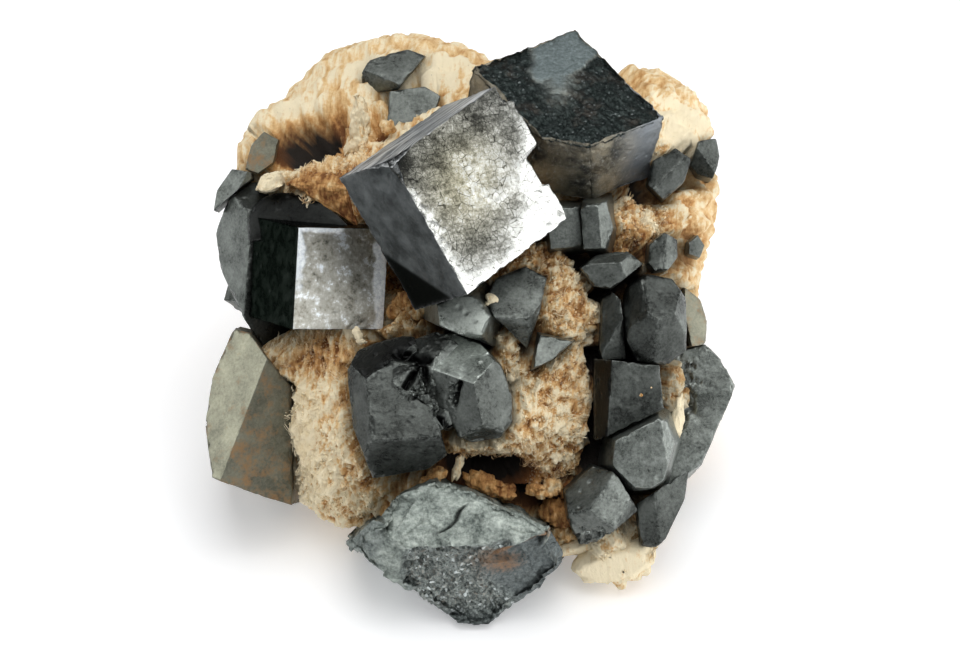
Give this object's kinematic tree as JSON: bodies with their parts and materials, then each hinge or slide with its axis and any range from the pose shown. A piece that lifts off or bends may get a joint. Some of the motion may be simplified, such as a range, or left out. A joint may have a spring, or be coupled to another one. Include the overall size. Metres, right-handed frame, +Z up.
{
  "type": "mineral specimen",
  "caption": "Natural cluster of black metallic cubic crystals standing on a pale fibrous matrix with a flat underside.",
  "frame": {"origin": "on the floor, under the middle of the specimen's box", "axes": "+Z up, -Y towards the viewer of the display face, +X to the viewer's right"},
  "size_m": [0.0362, 0.0366, 0.0324],
  "materials": {
    "black_crystal": "metallic lustre, from mirror-bright faces with growth marks to rough and glittering ones",
    "slate_crystal": "satin metallic grey with a slight blue-green tint",
    "rusty_crystal": "dull grey-brown with rusty stains",
    "fibrous_matrix": "matt, fibrous and granular, cream to orange-brown"
  },
  "bodies": {
    "root": {"big_cube": "black_crystal", "dark_cube": "black_crystal", "left_cube": "black_crystal", "centre_left_crystal": "black_crystal", "upper_middle_crystal": "black_crystal", "rim_crystal_inner": "black_crystal", "rim_crystal_outer": "black_crystal", "right_top_crystal": "black_crystal", "right_long_crystal": "black_crystal", "right_lower_crystal": "black_crystal", "far_right_crystal": "black_crystal", "back_crystal_upper": "black_crystal", "back_crystal_middle": "black_crystal", "centre_right_crystal": "slate_crystal", "hexagon_crystal": "slate_crystal", "small_triangle_crystal": "slate_crystal", "cleft_crystal_left": "slate_crystal", "cleft_crystal_right": "slate_crystal", "wedge_crystal": "slate_crystal", "nub_crystal": "slate_crystal", "edge_nub_crystal": "slate_crystal", "right_left_crystal": "slate_crystal", "right_hexagon_crystal": "slate_crystal", "small_low_crystal": "slate_crystal", "bottom_crystal": "slate_crystal", "left_rim_crystal": "slate_crystal", "left_edge_crystal": "slate_crystal", "top_crystal_front": "slate_crystal", "top_crystal_back": "slate_crystal", "back_crystal_lower": "slate_crystal", "back_crystal_right": "slate_crystal", "back_crystal_left": "slate_crystal", "right_edge_crystal": "rusty_crystal", "left_lower_crystal": "rusty_crystal", "left_wedge_crystal": "rusty_crystal", "matrix": "fibrous_matrix"}
  },
  "joints": []
}
